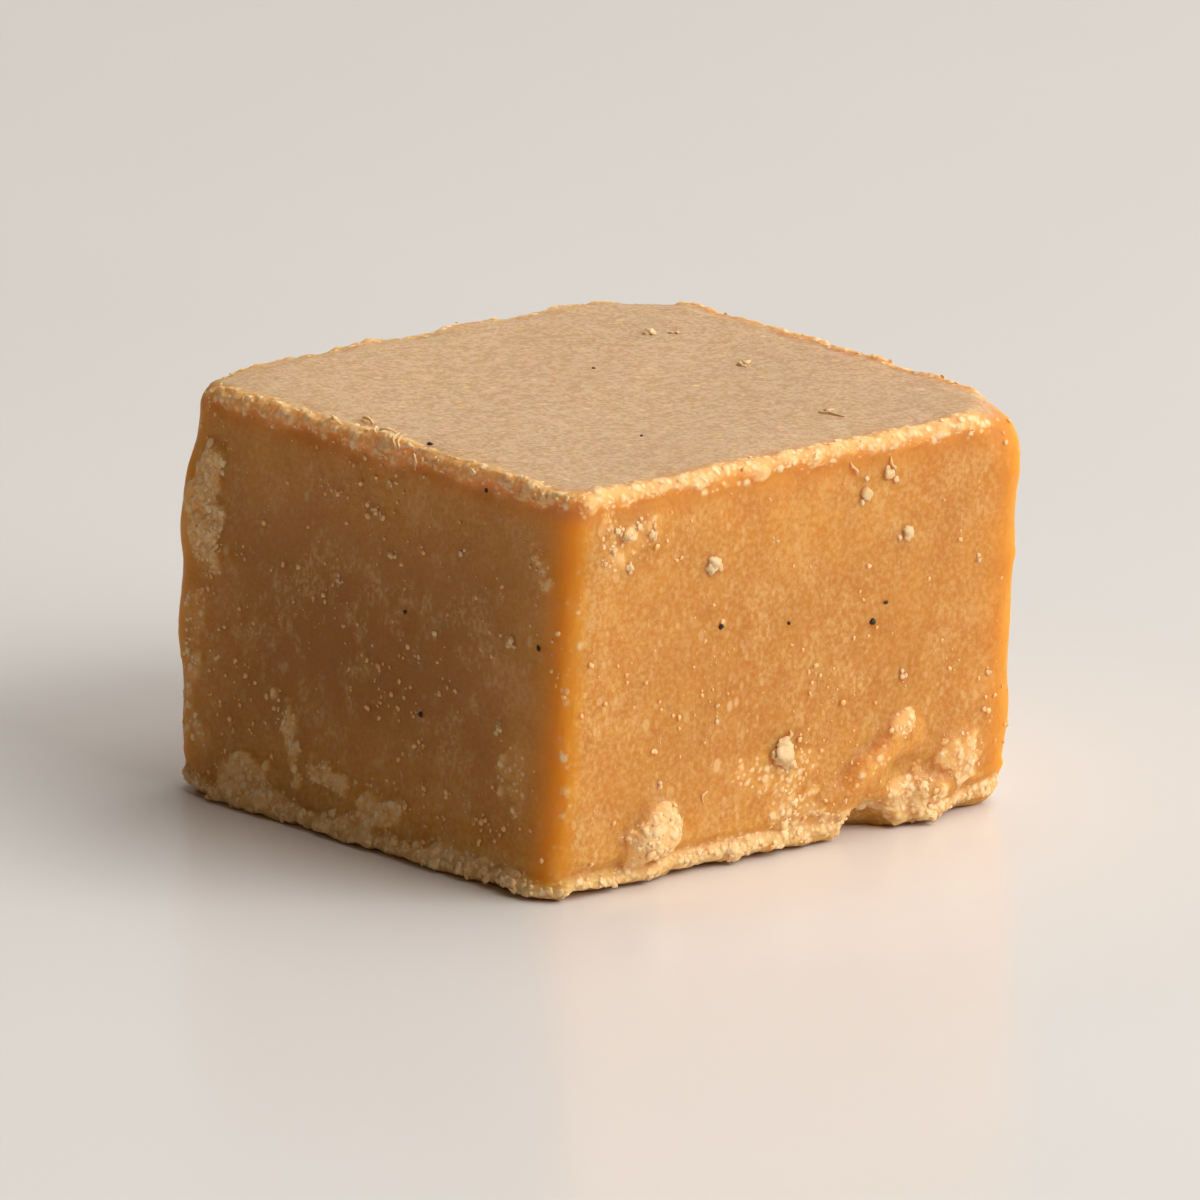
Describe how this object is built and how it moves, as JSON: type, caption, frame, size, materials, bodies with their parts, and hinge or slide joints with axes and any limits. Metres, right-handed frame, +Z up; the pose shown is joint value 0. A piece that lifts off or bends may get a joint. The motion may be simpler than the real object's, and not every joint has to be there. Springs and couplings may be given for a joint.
{
  "type": "fudge cube",
  "caption": "Cut cube of soft butter fudge with flat smooth top, uneven sides, rounded corners, crumbled rims, a chipped foot with a curled lip, and a flat base to rest on.",
  "frame": {"origin": "on the flat base, under the middle of the bounding box", "axes": "+Z up from the base to the smooth top; +X out of the face with the chipped foot and curled lip; -Y out of the face that meets it at the sharpest upright edge"},
  "size_m": [0.025, 0.025, 0.0162],
  "materials": {
    "fudge": "satin, slightly translucent butter caramel with pale sugary crumbs and fine dark vanilla specks"
  },
  "bodies": {
    "root": {"fudge_cube": "fudge"}
  },
  "joints": []
}
